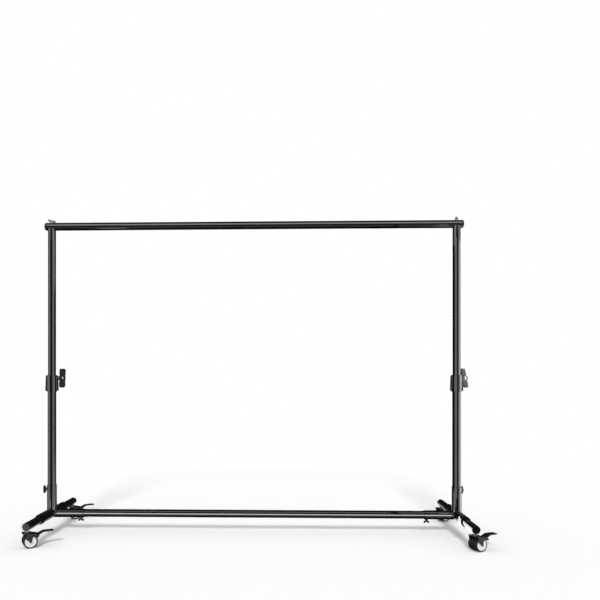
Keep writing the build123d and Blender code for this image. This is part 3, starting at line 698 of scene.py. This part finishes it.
def dress_bars():
    """Seam where the halves of a crossbar meet, and the flange of each end cap."""
    half = SEAM_WIDTH / 2
    for bar, body in (("top_bar", "upper_frame"), ("bottom_bar", "frame_base")):
        bar_r = half_size(f"{bar}_left", 1)
        seam = rounded_band(bar_r - SEAM_PROUD, bar_r + SEAM_PROUD, -half, half, SEAM_PROUD / 2)
        lathe(f"{bar}_seam", seam, body, "cap_plastic", standing((0, 0, middle(f"{bar}_left").z), X_AXIS))
    bar_r = half_size("top_bar_left", 1)
    flange = rounded_band(bar_r - CAP_FLANGE_PROUD, bar_r + CAP_FLANGE_PROUD, 0, CAP_FLANGE,
                          CAP_FLANGE_PROUD / 2)
    for name, side in SIDES.items():
        low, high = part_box(f"top_bar_{name}")
        tube_end = low[0] if side < 0 else high[0]
        lathe(f"{name}_cap_flange", flange, "upper_frame", "cap_plastic",
              standing((tube_end, 0, middle("top_bar_left").z), (side, 0, 0)))


# ---------------------------------------------------------------- casters

TYRE_INSET = 0.02 * MM              # keeps the tyre's lowest line on the floor
GROOVE_DEPTH = 0.9 * MM
GROOVE_WIDTH = 2.4 * MM
GROOVE_FLOOR = 0.6                  # width at the bottom, as a share of the groove's
GROOVE_PLACES = (0.22, -0.22)       # across the tread, as shares of its width
SHOULDER = 3.0 * MM
SHOULDER_STEPS = 4
HUB_RIM = 3.2 * MM
HUB_DISH = 3.2 * MM                 # depth of the dish below the tyre's side
HUB_SPOKES = 6
SPOKE_HALF = (2.6 * MM, 1.7 * MM)   # half width in the dish, at the boss and at the rim
SPOKE_DRAFT = 0.72                  # width on top, as a share of the width in the dish
SPOKE_DROP = 0.4 * MM               # from the tyre's side
# Corners of a spoke: both sides at the boss, both at the rim, and the same again on top
SPOKE_FACES = ((0, 1, 3, 2), (4, 6, 7, 5), (0, 4, 5, 1), (2, 3, 7, 6), (0, 2, 6, 4), (1, 5, 7, 3))
DISH_RING_RADIUS = 0.6              # as a share of the hub's
DISH_RING_WIDTH = 1.6 * MM
DISH_RING_EDGE = 0.5 * MM
NUT_FLATS = 9.0 * MM
NUT_HEIGHT = 3.0 * MM
NUT_SUNK = 1.5 * MM
NUT_SIDES = 6
# Side of the domed nut, as shares of its radius and height
NUT_OUTLINE = ((1.0, 0.0), (1.0, 0.75), (0.86, 1.0), (0.5, 1.12), (0.12, 1.16))
DUST_RING = 1.1 * MM
DUST_RING_LIFT = 0.6                # of its middle above the crown, as a share of its radius


def tyre_outline(wheel_r, bore_r, half):
    """Closed outline of the tyre: rounded shoulders and a tread with two grooves."""
    center_r, center_h = wheel_r - SHOULDER, half - SHOULDER
    outline = [(bore_r, -half), (bore_r, half)]
    outline += arc(center_r, center_h, SHOULDER, 90, 0, SHOULDER_STEPS)
    wall = GROOVE_WIDTH / 2
    floor = wall * GROOVE_FLOOR
    for share in GROOVE_PLACES:
        h = share * 2 * half
        outline += [(wheel_r, h + wall), (wheel_r - GROOVE_DEPTH, h + floor),
                    (wheel_r - GROOVE_DEPTH, h - floor), (wheel_r, h - wall)]
    outline += arc(center_r, -center_h, SHOULDER, 0, -90, SHOULDER_STEPS)
    return outline[::-1]


def hub_spokes(inner_r, outer_r, floor, top):
    """Spokes that stand in the hub's dish, from floor to top along +Z."""
    points, faces = [], []
    for turn in turned(HUB_SPOKES):
        spin = Matrix.Rotation(turn, 4, "Z")
        base = len(points)
        for z, draft in ((floor, 1.0), (top, SPOKE_DRAFT)):
            for r, half in zip((inner_r, outer_r), SPOKE_HALF):
                points += [spin @ Vector((r, -half * draft, z)), spin @ Vector((r, half * draft, z))]
        faces += [tuple(base + k for k in face) for face in SPOKE_FACES]
    return points, faces


def axle_nut(name, body, place):
    """Hexagon nut with a domed top, standing on the origin."""
    corner_r = NUT_FLATS / math.sqrt(3)
    rows = []
    for share, lift in NUT_OUTLINE:
        r, h = corner_r * share, NUT_HEIGHT * lift
        rows.append([(r * math.cos(turn), r * math.sin(turn), h) for turn in turned(NUT_SIDES)])
    points, faces = loft(rows)
    first, last = end_faces(rows)
    crisp(piece(name, points, [*faces, first[::-1], last], body, "dark_steel", place))


def dress_caster(corner):
    wheel, swivel = f"{corner}_wheel", f"{corner}_swivel"
    tyre, hub = f"{corner}_caster_tyre", f"{corner}_caster_hub"
    spin = joints[f"{corner}_wheel_spin"]
    center, axle = Vector(spin["pos_m"]), Vector(spin["axis"]).normalized()
    tread = about_axis(tyre, center, axle)
    half = max(along for along, away in tread)
    bore_r = min(away for along, away in tread)
    outline = tyre_outline(girth(tyre, center, axle) - TYRE_INSET, bore_r, half)
    made = lathe(f"{corner}_tyre", outline, wheel, "tyre_rubber", standing(center, axle))
    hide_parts(tyre)

    hub_r = girth(hub, center, axle)
    boss_r = girth(hub, center, axle, half + CLEARANCE)
    floor, top = half - HUB_DISH, half - SPOKE_DROP
    ring_r = hub_r * DISH_RING_RADIUS
    ring = rounded_band(ring_r - DISH_RING_WIDTH, ring_r, floor, top, DISH_RING_EDGE)
    for face, way in ENDS.items():
        outward = axle * way
        facing = standing(center, outward)
        crisp(piece(f"{corner}_{face}_spokes", *hub_spokes(boss_r, hub_r - HUB_RIM, floor, top), wheel,
                    "hub_plastic", facing))
        lathe(f"{corner}_{face}_hub_ring", ring, wheel, "hub_plastic", facing)
        pins = about_axis(f"{corner}_caster_pins", center, outward)
        head = max(along for along, away in pins if away < boss_r)
        axle_nut(f"{corner}_{face}_axle_nut", swivel, standing(center + outward * (head - NUT_SUNK), outward))

    pivot = Vector(joints[f"{corner}_swivel_turn"]["pos_m"])
    ring_r = girth(f"{corner}_caster_stem", pivot, Z_AXIS) + DUST_RING
    ring_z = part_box(f"{corner}_caster_fork")[1][2] + DUST_RING * DUST_RING_LIFT
    path = [Vector((pivot.x + ring_r * math.cos(turn), pivot.y + ring_r * math.sin(turn), ring_z))
            for turn in turned(ROUND_STEPS)]
    bead(f"{corner}_dust_ring", path, DUST_RING, swivel, "fork_plastic")


for name, side in SIDES.items():
    dress_base(name, side)
    dress_foot_caps(name)
    dress_clamp(name)
    dress_saddle(name)
dress_bars()
for corner in CORNERS:
    dress_caster(corner)
